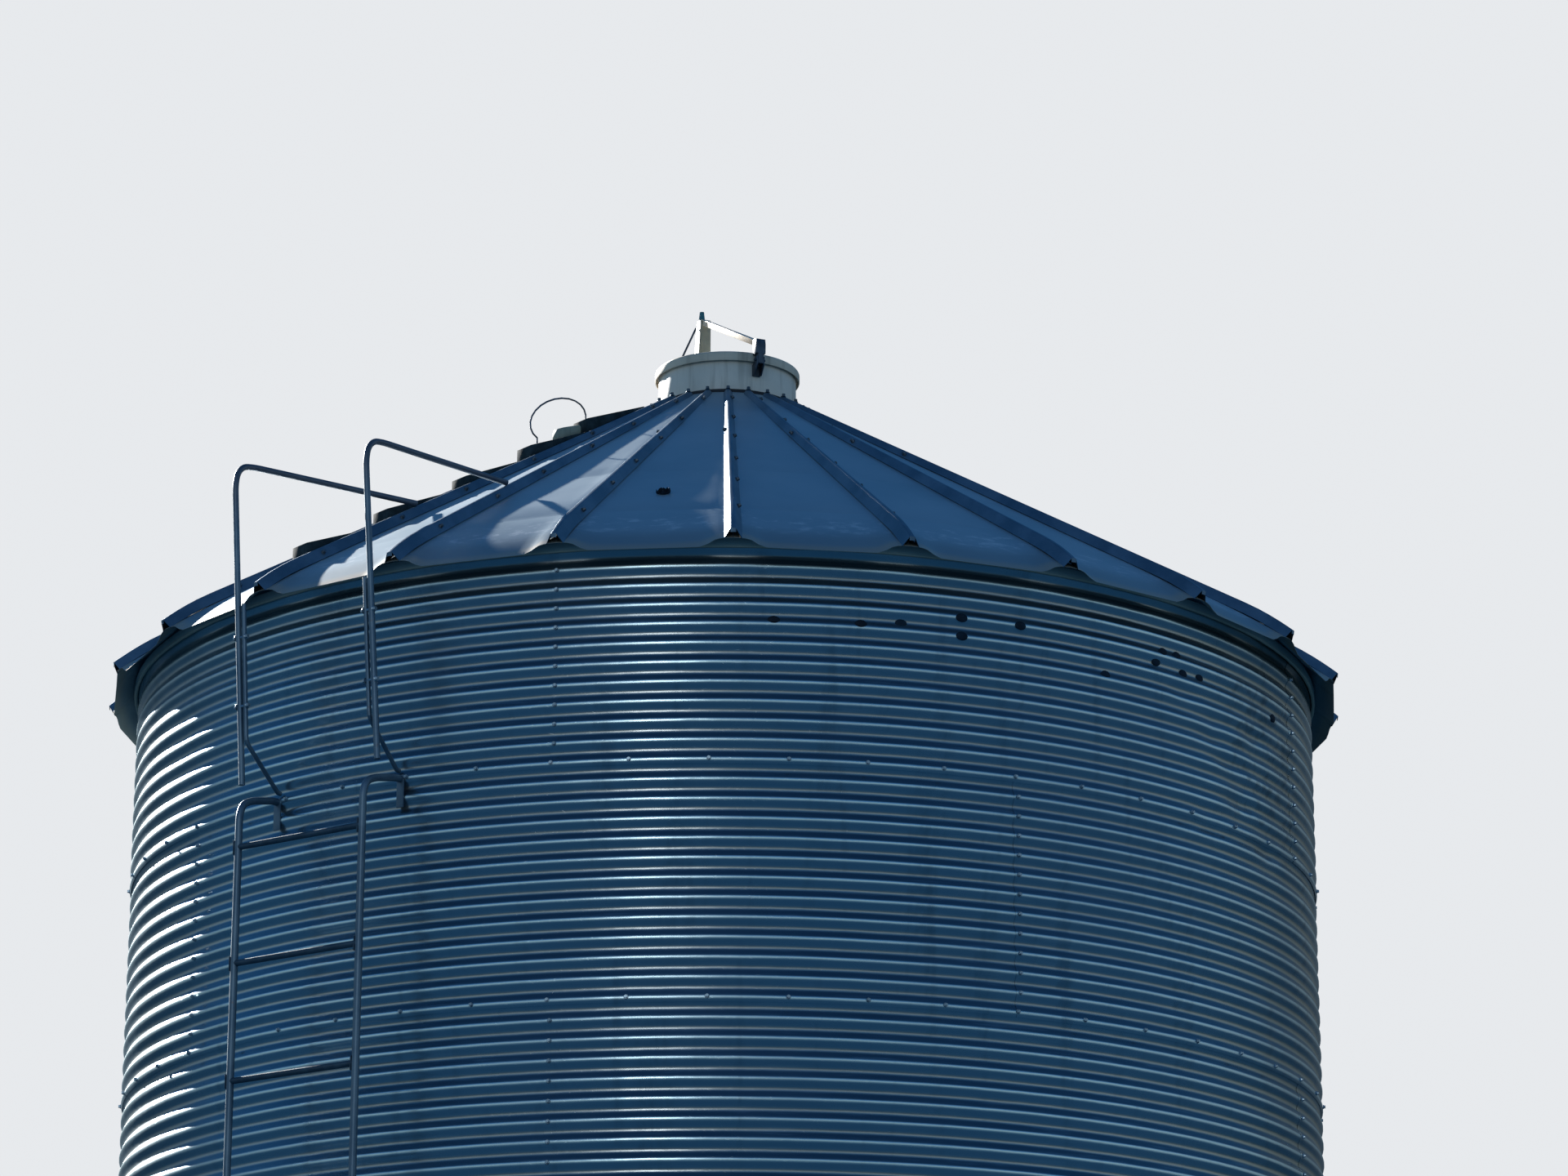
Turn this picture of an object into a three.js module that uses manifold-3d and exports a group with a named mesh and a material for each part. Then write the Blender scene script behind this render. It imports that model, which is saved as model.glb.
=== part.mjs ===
// Bolted grain silo of corrugated steel rings, with a ribbed cone roof, a filling
// collar under a hinged lid, and a wall ladder whose grab rails run on to the roof.
// Millimetres, +Z up. The origin is the centre of the wall's foot, and azimuth 0
// is the -Y side, growing towards +X.

import * as THREE from 'three';
import Module from 'manifold-3d';
import { mergeVertices } from 'three/addons/utils/BufferGeometryUtils.js';

const wasm = await Module();
wasm.setup();

// Driving dimensions
const seamGap = 0.3; // left between pieces that touch
const pitch = 67.733; // one corrugation of the wall, 2 2/3 inches
const ringHeight = 12 * pitch;
const ringCount = 8;
const eaveLevel = ringCount * ringHeight;
const wallOuter = 2230;
const wallInner = 2215;
const roofSeat = 27.8; // the top ring stops this far under the eave level
const roundSides = 48; // flat faces of the collar and its lid
const boltSpaces = 52; // bolts round one ring joint
const sheetSpaces = 12; // bolt spaces covered by one full sheet
const shortSpaces = 4; // and by the short sheet that closes a ring
const firstSeam = -15.95; // azimuth of a seam in the top ring, in degrees
const seamShift = 6; // bolt spaces between the seams of neighbouring rings

const panelCount = 24;
const panelStep = 360 / panelCount;
const roofSlope = Math.tan(THREE.MathUtils.degToRad(30.45));
const roofPeak = eaveLevel + 1318; // where the panels' surface would meet the axis
const panelThickness = 3.5;
const panelTop = 285;
const bellRadii = [1980, 2190, 2240, 2280, 2305];
const bellDrops = [0, 9, 17, 28, 38]; // how far the eave bends below the straight slope
const ribTop = 296;
const ribTip = 2351;
const ribHeights = [18, 45]; // at its upper end and at its tip
const ribNarrowing = 0.55; // of its width at the upper end
const ribSink = 4; // the rib's right edge is pressed this far into its panel
const ridgeFall = roofSlope * Math.tan(Math.PI / panelCount); // of the panels beside a rib

const collarOuter = 268;
const collarWall = 3;
const collarFoot = eaveLevel + 1085;
const collarLip = eaveLevel + 1300;
const lidRadius = 282;
const lidSkirt = 7.5;
const lidRise = 18;
const lidLow = eaveLevel + 1282;
const lidHigh = eaveLevel + 1320;

const hingeAzimuth = 23.5;
const pinReach = 303; // distance of the hinge pin from the axis
const pinLevel = eaveLevel + 1283;
const pinRadius = 5;
const pinBore = 5.6;
const earGap = 24;
const earThickness = 4;
const postReach = -224;
const postHead = eaveLevel + 1616;

const stepAzimuth = -3.5 * panelStep; // middle of the panel that carries the steps
const ladderAzimuth = -37.4;
const ladderReach = 2405;
const railOffset = 279;
const railRadius = 13;
const rungRadius = 11;
const rungSpacing = 6 * pitch;
const rungCount = 13;
const topRung = eaveLevel - ringHeight - 3 * pitch;
const ladderFoot = 400;
const ladderHead = eaveLevel - 818;
const grabRadius = 11;
const braceRadius = 8;

// Finishes
const finish = {
  sheet: { color: 0x8f99a0, metalness: 0.85, roughness: 0.42 },
  roof: { color: 0x8a949c, metalness: 0.85, roughness: 0.38 },
  dark: { color: 0x3b4046, metalness: 0.6, roughness: 0.6 },
  beige: { color: 0xb0a48c, metalness: 0.0, roughness: 0.6 },
  tube: { color: 0x6f767b, metalness: 0.8, roughness: 0.5 },
};

const silo = new THREE.Group();

function place(name, geometry, look) {
  const mesh = new THREE.Mesh(geometry, new THREE.MeshStandardMaterial(finish[look]));
  mesh.name = name;
  silo.add(mesh);
  return mesh;
}

// Unit vectors of an azimuth: outwards, and sideways towards growing azimuth
function outward(azimuth) {
  const angle = THREE.MathUtils.degToRad(azimuth);
  return new THREE.Vector3(Math.sin(angle), -Math.cos(angle), 0);
}

function sideways(azimuth) {
  const angle = THREE.MathUtils.degToRad(azimuth);
  return new THREE.Vector3(Math.cos(angle), Math.sin(angle), 0);
}

// A point given by its reach from the axis, its offset sideways and its level
function at(azimuth, reach, offset, level) {
  const point = outward(azimuth).multiplyScalar(reach);
  point.addScaledVector(sideways(azimuth), offset);
  point.z = level;
  return point;
}

// Closed body through a row of like sections, with its two ends covered
function loft(rings, outline) {
  const positions = [];
  const index = [];
  const size = outline.length;
  rings.forEach((ring) => ring.forEach((point) => positions.push(point.x, point.y, point.z)));
  for (let row = 0; row + 1 < rings.length; row += 1) {
    for (let i = 0; i < size; i += 1) {
      const a = row * size + i;
      const b = row * size + ((i + 1) % size);
      index.push(a, b, b + size, a, b + size, a + size);
    }
  }
  const lastRow = (rings.length - 1) * size;
  const flipped = THREE.ShapeUtils.isClockWise(outline);
  THREE.ShapeUtils.triangulateShape(outline, []).forEach((corners) => {
    const [a, b, c] = flipped ? corners.reverse() : corners;
    index.push(c, b, a, a + lastRow, b + lastRow, c + lastRow);
  });
  const geometry = new THREE.BufferGeometry();
  geometry.setAttribute('position', new THREE.Float32BufferAttribute(positions, 3));
  geometry.setIndex(signedVolume(positions, index) < 0 ? index.reverse() : index);
  return geometry;
}

function signedVolume(positions, index) {
  const corner = (i) => new THREE.Vector3().fromArray(positions, 3 * index[i]);
  let volume = 0;
  for (let i = 0; i < index.length; i += 3) {
    volume += corner(i).dot(corner(i + 1).cross(corner(i + 2)));
  }
  return volume;
}

// Part of a round wall between two azimuths
function arcBody(inner, outer, low, high, start, end, steps) {
  const outline = [];
  for (let i = 0; i <= steps; i += 1) outline.push([outer, start + ((end - start) * i) / steps]);
  for (let i = steps; i >= 0; i -= 1) outline.push([inner, start + ((end - start) * i) / steps]);
  const flat = outline.map(([reach, azimuth]) => at(azimuth, reach, 0, 0));
  const rings = [low, high].map((level) => flat.map((p) => new THREE.Vector3(p.x, p.y, level)));
  return loft(rings, flat.map((p) => new THREE.Vector2(p.x, p.y)));
}

// Ring turned about the axis from a closed profile of [reach, level] corners
function turned(profile, segments, start = 0) {
  const points = profile.map(([reach, level]) => new THREE.Vector2(reach, level));
  const ring = new THREE.LatheGeometry(points, segments).rotateX(Math.PI / 2);
  return ring.rotateZ(THREE.MathUtils.degToRad(start));
}

function closedProfile(corners) {
  return [...corners, corners[0]];
}

// Plate whose outline lies in the upright plane of an azimuth, as [reach, level]
function uprightPlate(azimuth, outline, thickness, offset = 0, hole = null) {
  const shape = new THREE.Shape(outline.map(([reach, level]) => new THREE.Vector2(reach, level)));
  if (hole) {
    const bore = new THREE.Path();
    bore.absarc(hole.reach, hole.level, hole.radius, 0, 2 * Math.PI, true);
    shape.holes.push(bore);
  }
  const options = { depth: thickness, bevelEnabled: false, curveSegments: 6 };
  const geometry = new THREE.ExtrudeGeometry(shape, options);
  geometry.translate(0, 0, -thickness / 2 - offset);
  const up = new THREE.Vector3(0, 0, 1);
  const basis = new THREE.Matrix4().makeBasis(outward(azimuth), up, sideways(azimuth).negate());
  return geometry.applyMatrix4(basis);
}

// Bar or tube that keeps its section along a path with mitred corners
function sweep(path, side, section) {
  const last = path.length - 1;
  const rings = path.map((point, i) => {
    const before = point.clone().sub(path[Math.max(i - 1, 0)]).normalize();
    const after = path[Math.min(i + 1, last)].clone().sub(point).normalize();
    const along = before.clone().add(after).normalize();
    const upright = side.clone().cross(along);
    const mitre = i === 0 || i === last ? 1 : 1 / Math.max(along.dot(after), 0.5);
    return section.map(([across, out]) => point.clone()
      .addScaledVector(side, across)
      .addScaledVector(upright, out * mitre));
  });
  return loft(rings, section.map(([across, out]) => new THREE.Vector2(across, out)));
}

function roundSection(radius, sides) {
  return Array.from({ length: sides }, (_, i) => {
    const angle = (2 * Math.PI * (i + 0.5)) / sides;
    return [radius * Math.cos(angle), radius * Math.sin(angle)];
  });
}

function flatSection(width, depth) {
  return [[-width / 2, -depth / 2], [width / 2, -depth / 2], [width / 2, depth / 2], [-width / 2, depth / 2]];
}

function asSolid(geometry) {
  const bare = geometry.clone();
  bare.deleteAttribute('normal');
  bare.deleteAttribute('uv');
  const merged = mergeVertices(bare, 0.001);
  const vertProperties = new Float32Array(merged.attributes.position.array);
  const triVerts = new Uint32Array(merged.index.array);
  return new wasm.Manifold(new wasm.Mesh({ numProp: 3, vertProperties, triVerts }));
}

// Overlapping bodies made one
function joined(bodies) {
  return asGeometry(bodies.map(asSolid).reduce((whole, body) => whole.add(body)));
}

function asGeometry(solid) {
  const { vertProperties, triVerts } = solid.getMesh();
  const geometry = new THREE.BufferGeometry();
  geometry.setAttribute('position', new THREE.Float32BufferAttribute(vertProperties, 3));
  geometry.setIndex(Array.from(triVerts));
  return geometry;
}

// Wall rings: each is two runs of bolted sheets, with the seams staggered ring by ring
const space = 360 / boltSpaces;
const runSpaces = [sheetSpaces * 2 + shortSpaces, sheetSpaces * 2];
const seamEdge = THREE.MathUtils.radToDeg(seamGap / 2 / wallOuter);
for (let number = 1; number <= ringCount; number += 1) {
  const low = eaveLevel - number * ringHeight + (number < ringCount ? seamGap / 2 : 0);
  const high = eaveLevel - (number - 1) * ringHeight - (number > 1 ? seamGap / 2 : roofSeat);
  let start = firstSeam + ((number - 1) % 2) * seamShift * space;
  runSpaces.forEach((spaces, run) => {
    const end = start + spaces * space;
    const sheets = arcBody(wallInner, wallOuter, low, high, start + seamEdge, end - seamEdge, spaces);
    place(`wall_ring_${number}_${'ab'[run]}`, sheets, 'sheet');
    start = end;
  });
}

// Reach at which the wall's flat faces are met, this far sideways of an azimuth
function wallReach(azimuth, offset) {
  const flat = wallOuter * Math.cos(Math.PI / boltSpaces);
  const reaches = Array.from({ length: boltSpaces }, (_, i) => {
    const turn = THREE.MathUtils.degToRad(firstSeam + (i + 0.5) * space - azimuth);
    return Math.cos(turn) > 0.5 ? (flat - offset * Math.sin(turn)) / Math.cos(turn) : Infinity;
  });
  return Math.min(...reaches) + seamGap;
}

const baseAngle = [[wallOuter + 12.3, 0], [wallOuter + 60, 0], [wallOuter + 60, 6], [wallOuter + 18, 6],
  [wallOuter + 18, 50], [wallOuter + seamGap, 50], [wallOuter + seamGap, 44], [wallOuter + 12.3, 44]];
place('base_angle', turned(closedProfile(baseAngle), boltSpaces, firstSeam), 'sheet');

const eaveBand = [[wallOuter + seamGap, eaveLevel - 78], [wallOuter + 14, eaveLevel - 78],
  [wallOuter + 14, eaveLevel - 42], [wallOuter + seamGap, eaveLevel - 42]];
place('eave_band', turned(closedProfile(eaveBand), boltSpaces, firstSeam), 'sheet');

// Level of the panels' surface along the line of a rib
function roofLevel(radius) {
  let drop = 0;
  for (let i = 0; i + 1 < bellRadii.length; i += 1) {
    const share = THREE.MathUtils.clamp((radius - bellRadii[i]) / (bellRadii[i + 1] - bellRadii[i]), 0, 1);
    drop += share * (bellDrops[i + 1] - bellDrops[i]);
  }
  return roofPeak - roofSlope * radius - drop;
}

// Flat, wedge-shaped panels side by side, bent down at the eave
function roofPanels(first, count) {
  const radii = [panelTop, ...bellRadii];
  const edge = seamGap / 2;
  const rings = Array.from({ length: count + 1 }, (_, i) => {
    const shift = i === 0 ? edge : -edge * (i === count);
    const surface = radii.map((radius) => at((first + i) * panelStep, radius, shift, roofLevel(radius)));
    const under = surface.map((point) => point.clone().setZ(point.z - panelThickness)).reverse();
    return [...surface, ...under];
  });
  const outline = [...radii.map((radius) => new THREE.Vector2(radius, roofLevel(radius))),
    ...radii.map((radius) => new THREE.Vector2(radius, roofLevel(radius) - panelThickness)).reverse()];
  return loft(rings, outline);
}

// Hollow rib over a joint of two panels, open at its eave end
function roofRib(azimuth) {
  const section = (scale, height) => {
    const foot = 31 * scale;
    const crown = 9 * scale;
    const wall = 3;
    const laid = (wall - foot) * ridgeFall + seamGap;
    return [[-foot, laid], [-crown, height], [crown, height], [foot, -ribSink],
      [foot - wall, -ribSink], [crown - wall, height - wall], [wall - crown, height - wall],
      [wall - foot, laid]];
  };
  const ends = [[ribTop, ribNarrowing, ribHeights[0]], [ribTip, 1, ribHeights[1]]];
  const rings = ends.map(([radius, scale, height]) => section(scale, height)
    .map(([across, rise]) => at(azimuth, radius, across, roofPeak - roofSlope * radius + rise)));
  return loft(rings, section(1, ribHeights[1]).map(([across, rise]) => new THREE.Vector2(across, rise)));
}

// Level of a rib's crown
function crownLevel(radius) {
  const height = THREE.MathUtils.mapLinear(radius, ribTop, ribTip, ...ribHeights);
  return roofPeak - roofSlope * radius + height;
}

const sectorCount = 6;
const perSector = panelCount / sectorCount;
for (let sector = 0; sector < sectorCount; sector += 1) {
  const first = sector * perSector;
  const ribs = Array.from({ length: perSector }, (_, i) => roofRib((first + i) * panelStep));
  place(`roof_sector_${sector + 1}`, joined([roofPanels(first, perSector), ...ribs]), 'roof');
}

// Just below the panels, half-way between two ribs
const midPanel = Math.cos(Math.PI / panelCount);
const underRoof = (radius) => roofPeak - (roofSlope * radius) / midPanel - panelThickness - 2 * seamGap;
const peakRing = [[collarOuter + 0.4, collarFoot], [300, collarFoot], [300, underRoof(300)],
  [283, underRoof(283)], [collarOuter + 0.4, underRoof(283)]];
const roundTurn = hingeAzimuth - (3.5 * 360) / roundSides; // a flat face looks at the hinge
place('peak_ring', turned(closedProfile(peakRing), roundSides, roundTurn), 'roof');

// Filling collar and its lid
const collar = [[collarOuter - collarWall, collarFoot], [collarOuter, collarFoot],
  [collarOuter, collarLip], [collarOuter - collarWall, collarLip]];
place('fill_collar', turned(closedProfile(collar), roundSides, roundTurn), 'beige');

const lidSeat = collarLip + seamGap;
const lid = [[0, lidSeat], [lidRadius - lidSkirt, lidSeat], [lidRadius - lidSkirt, lidLow],
  [lidRadius, lidLow], [lidRadius, lidHigh], [0, lidHigh + lidRise]];
place('fill_lid', turned(lid, roundSides, roundTurn), 'beige');

// Level of the lid's cone, so far off its middle
function lidLevel(reach, offset = 0) {
  return lidHigh + lidRise * (1 - Math.hypot(reach, offset) / lidRadius) + seamGap;
}

// Post that stands on the lid's cone, wider at its foot, from its [reach, offset] corners
const postBack = postReach - 12.5;
const postFront = postReach + 12.5;
const postRight = 22;
const postLefts = [-34, -22]; // at the foot and at the head

function standing(foot, head) {
  const rings = [foot.map(([reach, offset]) => at(hingeAzimuth, reach, offset, lidLevel(reach, offset))),
    head.map(([reach, offset]) => at(hingeAzimuth, reach, offset, postHead))];
  return loft(rings, head.map(([reach, offset]) => new THREE.Vector2(reach, offset)));
}

const postCorners = (left) => [[postBack, left], [postFront, left], [postFront, postRight], [postBack, postRight]];
place('lid_post', standing(...postLefts.map(postCorners)), 'beige');

const gussetThickness = 5;
const gussetReach = postBack - seamGap;
const gussetCorners = (left, depth) => [[gussetReach - depth, left], [gussetReach, left],
  [gussetReach, left + gussetThickness], [gussetReach - depth, left + gussetThickness]];
const gussetDepths = [34, 12];
const gussetEnds = postLefts.map((left, i) => gussetCorners(left, gussetDepths[i]));
place('lid_gusset', standing(...gussetEnds), 'beige');

// The arm is an angle with its level leg on top
const flatShare = Math.cos(Math.PI / roundSides);
const clevisBack = lidRadius * flatShare + seamGap + 0.1;
const armLeg = 30;
const armDrop = 24;
const armThickness = 4;
const armHead = [postFront + seamGap, postHead - 3];
const armFoot = [clevisBack - seamGap, eaveLevel + 1371];
const armStrip = (depth) => [[armHead[0], armHead[1] - depth], [armFoot[0], armFoot[1] - depth], armFoot, armHead];
const armShift = -2;
const armSide = armShift - (armLeg - armThickness) / 2 + 3; // set in from the upper leg's edge
place('lid_arm', joined([uprightPlate(hingeAzimuth, armStrip(armThickness), armLeg, armShift),
  uprightPlate(hingeAzimuth, armStrip(armDrop), armThickness, armSide)]), 'beige');

const strutPath = [at(hingeAzimuth, gussetReach - 8, postLefts[1] - 6, postHead - 30),
  at(hingeAzimuth, -208, -154, lidLevel(208, 154) + 2.2)];
place('lid_strut', sweep(strutPath, outward(hingeAzimuth), roundSection(4, 6)), 'dark');

const knobHeight = 32;
const knob = new THREE.CylinderGeometry(9, 12.5, knobHeight, 10).rotateX(Math.PI / 2);
const knobPlace = at(hingeAzimuth, postReach, -12, postHead + knobHeight / 2 + seamGap);
place('lid_knob', knob.translate(knobPlace.x, knobPlace.y, knobPlace.z), 'dark');

// Clevis with a tongue between the bracket's ears and a wider head above them
const clevisHead = [[318, pinLevel + 60], [314, eaveLevel + 1366], [clevisBack, eaveLevel + 1371]];
const clevisTongue = [[clevisBack, pinLevel - 15], [316, pinLevel - 15], ...clevisHead];
const clevisBlock = [[clevisBack, pinLevel + 24], [317, pinLevel + 24], ...clevisHead];
const pinHole = { reach: pinReach, level: pinLevel, radius: pinBore };
place('lid_clevis', joined([uprightPlate(hingeAzimuth, clevisTongue, earGap - 2, 0, pinHole),
  uprightPlate(hingeAzimuth, clevisBlock, earGap + 14)]), 'dark');

// Hinge bracket: a plate on the collar with two ears that carry the pin
const plateBack = collarOuter * flatShare + seamGap + 0.1;
const plateOutline = [[plateBack, eaveLevel + 1226], [274, eaveLevel + 1226],
  [274, eaveLevel + 1270], [plateBack, eaveLevel + 1270]];
const earOutline = [[plateBack, eaveLevel + 1226], [290, eaveLevel + 1226], [316, eaveLevel + 1262],
  [316, eaveLevel + 1295], [287, eaveLevel + 1295], [285, eaveLevel + 1275], [plateBack, eaveLevel + 1270]];
const earOffset = (earGap + earThickness) / 2;
const bracketParts = [
  uprightPlate(hingeAzimuth, plateOutline, earGap + 1),
  uprightPlate(hingeAzimuth, earOutline, earThickness, earOffset, pinHole),
  uprightPlate(hingeAzimuth, earOutline, earThickness, -earOffset, pinHole),
];
place('hinge_bracket', joined(bracketParts), 'dark');

const pin = new THREE.CylinderGeometry(pinRadius, pinRadius, 46, 12);
pin.rotateZ(Math.PI / 2).rotateZ(THREE.MathUtils.degToRad(hingeAzimuth));
const pinPlace = at(hingeAzimuth, pinReach, 0, pinLevel);
place('hinge_pin', pin.translate(pinPlace.x, pinPlace.y, pinPlace.z), 'dark');

// Wedge steps in a row up the roof panel left of the ladder, each flatter than the slope
const stepInset = 34;
const stepWidth = 90;
const halfPanel = Math.tan(THREE.MathUtils.degToRad(panelStep / 2));
const stepFoot = (reach) => roofPeak - (roofSlope * reach) / midPanel + seamGap;

function roofStep(radii, rises) {
  const rings = radii.map((reach, i) => {
    const right = reach * halfPanel - stepInset;
    const left = right - Math.min(stepWidth, 2 * right);
    const foot = stepFoot(reach);
    return [at(stepAzimuth, reach, left, foot), at(stepAzimuth, reach, right, foot),
      at(stepAzimuth, reach, right, foot + rises[i]), at(stepAzimuth, reach, left, foot + rises[i])];
  });
  const square = [new THREE.Vector2(0, 0), new THREE.Vector2(1, 0), new THREE.Vector2(1, 1), new THREE.Vector2(0, 1)];
  return loft(rings, square);
}

const stepTops = [420, 728, 1014, 1338, 1716]; // where each step starts and ends
const stepEnds = [720, 1007, 1330, 1708, 2080];
const stepRises = [[24, 79], [27, 73], [22, 66], [20, 75], [14, 82]];
stepTops.forEach((top, i) => place(`roof_step_${i + 1}`, roofStep([top, stepEnds[i]], stepRises[i]), 'roof'));

// Wire hoop from the first step to the second, and a block on the second
function onStep(number, reach, above) {
  const rise = THREE.MathUtils.mapLinear(reach, stepTops[number], stepEnds[number], ...stepRises[number]);
  return [reach, stepFoot(reach) + rise + above];
}

const hoopMiddle = [835, stepFoot(835) + 121];
const hoopTurns = [6, 222]; // degrees round the hoop from foot to foot
const hoopCurve = Array.from({ length: 15 }, (_, i) => {
  const turn = THREE.MathUtils.degToRad(THREE.MathUtils.lerp(...hoopTurns, i / 14));
  return [hoopMiddle[0] - 143 * Math.cos(turn), hoopMiddle[1] + 49 * Math.cos(turn) + 88 * Math.sin(turn)];
});
const hoopEnds = [onStep(0, hoopCurve[0][0], 2.1), onStep(1, hoopCurve[14][0], 2.1)];
const hoopPath = [hoopEnds[0], ...hoopCurve, hoopEnds[1]].map(([reach, level]) => at(stepAzimuth, reach,
  reach * halfPanel - stepInset - stepWidth / 2, level));
place('step_hoop', sweep(hoopPath, sideways(stepAzimuth), roundSection(3.5, 6)), 'dark');

const blockTop = stepFoot(735);
const blockOutline = [onStep(1, 735, 0.4), onStep(1, 843, 0.4), [846, blockTop + 5], [838, blockTop + 27],
  [815, blockTop + 37], [742, blockTop + 62], [735, blockTop + 56]];
place('step_block', uprightPlate(stepAzimuth, blockOutline, 34, 25), 'beige');

// Ladder in two lengths. The upper one hooks on the wall under the eave, and both
// have stand-offs from a joint of the wall
const ladderSide = sideways(ladderAzimuth);
const ladderSplit = topRung - 6.5 * rungSpacing;

function ladderPath(points) {
  return points.map(([reach, offset, level]) => at(ladderAzimuth, reach, offset, level));
}

function ladderRail(sign, levels) {
  const path = ladderPath(levels.map(([reach, level]) => [reach, sign * railOffset, level]));
  return sweep(path, ladderSide, roundSection(railRadius, 8));
}

function ladderRung(number) {
  const half = railOffset - railRadius + 5;
  const path = ladderPath([-half, half].map((offset) => [ladderReach, offset, topRung - number * rungSpacing]));
  return sweep(path, new THREE.Vector3(0, 0, 1), roundSection(rungRadius, 8));
}

function ladderStandoff(sign, joint) {
  const offset = sign * railOffset;
  const ends = [wallReach(ladderAzimuth, sign * (railOffset - 3)), ladderReach - 4];
  const path = ladderPath(ends.map((reach) => [reach, offset, eaveLevel - joint * ringHeight]));
  return sweep(path, ladderSide, flatSection(6, 40));
}

// Upright plate on the wall that a rail's hook ends in
function hookPlate(sign) {
  const half = 15;
  const reach = wallReach(ladderAzimuth, sign * (railOffset - half)) + 3;
  const levels = [ladderHead + 14, ladderHead - 100];
  const path = ladderPath(levels.map((level) => [reach, sign * railOffset, level]));
  return sweep(path, ladderSide, flatSection(2 * half, 6));
}

const hands = [['left', -1], ['right', 1]];
const upperBodies = hands.flatMap(([, sign]) => {
  const wallEnd = wallReach(ladderAzimuth, sign * (railOffset - railRadius));
  const hook = [[wallEnd, ladderHead], [wallEnd + 30, ladderHead], [ladderReach - 60, ladderHead - 22],
    [ladderReach - 16, ladderHead - 42], [ladderReach, ladderHead - 84]];
  return [ladderRail(sign, [...hook, [ladderReach, ladderSplit + seamGap]]),
    hookPlate(sign), ladderStandoff(sign, 4)];
});
const lowerBodies = hands.flatMap(([, sign]) => [
  ladderRail(sign, [[ladderReach, ladderSplit], [ladderReach, ladderFoot]]), ladderStandoff(sign, 7)]);
for (let number = 0; number < rungCount; number += 1) {
  (number < 7 ? upperBodies : lowerBodies).push(ladderRung(number));
}
place('ladder_upper', joined(upperBodies), 'tube');
place('ladder_lower', joined(lowerBodies), 'tube');

// Grab rails: up past the eave, over in a bend and in to the rib. Both lean a little
// to the left, and each has a brace bar beside it that bends in to the wall
const grabFoot = eaveLevel - 800;
const grabReach = 2425;
const grabEnd = 1612;
const grabRails = [
  { hand: 'left', sign: -1, footOffset: -265, headOffset: -340, head: eaveLevel + 380 },
  { hand: 'right', sign: 1, footOffset: 345, headOffset: 262, head: eaveLevel + 358 },
];
const braceGap = 26;
const boltLevels = [eaveLevel - 270, eaveLevel - 520];

grabRails.forEach(({ hand, sign, footOffset, headOffset, head }) => {
  const offsetAt = (level) => THREE.MathUtils.mapLinear(level, grabFoot, head, footOffset, headOffset);
  const spread = THREE.MathUtils.degToRad(panelStep / 2);
  const landing = crownLevel(grabEnd) + grabRadius - 0.2;
  const end = [grabEnd * Math.cos(spread), sign * grabEnd * Math.sin(spread)];
  const grabPath = ladderPath([[grabReach - 12, footOffset, grabFoot], [grabReach, offsetAt(head - 90), head - 90],
    [grabReach - 12, offsetAt(head - 38), head - 38], [grabReach - 45, headOffset, head - 6],
    [grabReach - 100, headOffset - sign * 4, head + 4], [...end, landing]]);
  const rail = sweep(grabPath, ladderSide, roundSection(grabRadius, 8));

  const inward = (level) => offsetAt(level) - sign * braceGap;
  const wallEnd = wallReach(ladderAzimuth, sign * 262);
  const toWall = [14, 0].map((gap) => [wallEnd + gap, sign * 270, eaveLevel - 788]);
  const bracePath = ladderPath([[grabReach - 6, inward(eaveLevel - 150), eaveLevel - 150],
    [grabReach - 8, inward(eaveLevel - 650), eaveLevel - 650], ...toWall]);
  const brace = sweep(bracePath, ladderSide, roundSection(braceRadius, 8));

  const bolts = boltLevels.map((level) => {
    const ends = [offsetAt(level) + sign * 18, inward(level) - sign * 16];
    const path = ladderPath(ends.map((offset) => [grabReach - 5, offset, level]));
    return sweep(path, new THREE.Vector3(0, 0, 1), roundSection(5, 6));
  });
  place(`grab_rail_${hand}`, joined([rail, brace, ...bolts]), 'tube');
});

export default silo;
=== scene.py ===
import math
import random

import bmesh
import bpy
from mathutils import Matrix, Vector


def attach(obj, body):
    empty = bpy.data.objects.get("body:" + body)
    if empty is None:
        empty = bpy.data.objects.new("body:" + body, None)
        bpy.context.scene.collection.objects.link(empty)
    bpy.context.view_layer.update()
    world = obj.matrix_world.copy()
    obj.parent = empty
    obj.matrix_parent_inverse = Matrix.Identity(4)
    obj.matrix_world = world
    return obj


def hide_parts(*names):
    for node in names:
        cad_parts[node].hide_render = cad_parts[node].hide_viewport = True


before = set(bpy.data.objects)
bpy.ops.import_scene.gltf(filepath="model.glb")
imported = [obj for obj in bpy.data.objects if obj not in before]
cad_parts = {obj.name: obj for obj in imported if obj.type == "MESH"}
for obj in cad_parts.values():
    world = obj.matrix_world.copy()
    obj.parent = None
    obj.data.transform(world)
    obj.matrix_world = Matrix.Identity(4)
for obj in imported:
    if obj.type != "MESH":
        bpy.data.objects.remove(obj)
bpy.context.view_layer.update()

print("frame loaded:", len(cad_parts), "nodes")

# Everything is in metres. Azimuth 0 is the -Y side and grows towards +X
pitch = 0.067733  # one corrugation of the wall
crest = 0.035  # the wall's first crest is this part of a corrugation under the eave
ringCount = 8
ringHeight = 12 * pitch
eave = ringCount * ringHeight
ringBolts = 52
boltSpace = 360 / ringBolts  # degrees from bolt to bolt round a ring joint


def spot(azimuth, reach, level, offset=0.0):
    turn = math.radians(azimuth)
    return Vector((math.sin(turn) * reach + math.cos(turn) * offset,
                   math.sin(turn) * offset - math.cos(turn) * reach, level))


def facing(azimuth, place=(0, 0, 0)):
    # +X outwards along the azimuth, +Y sideways, +Z up
    return Matrix.Translation(place) @ Matrix.Rotation(math.radians(azimuth - 90), 4, "Z")


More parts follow.
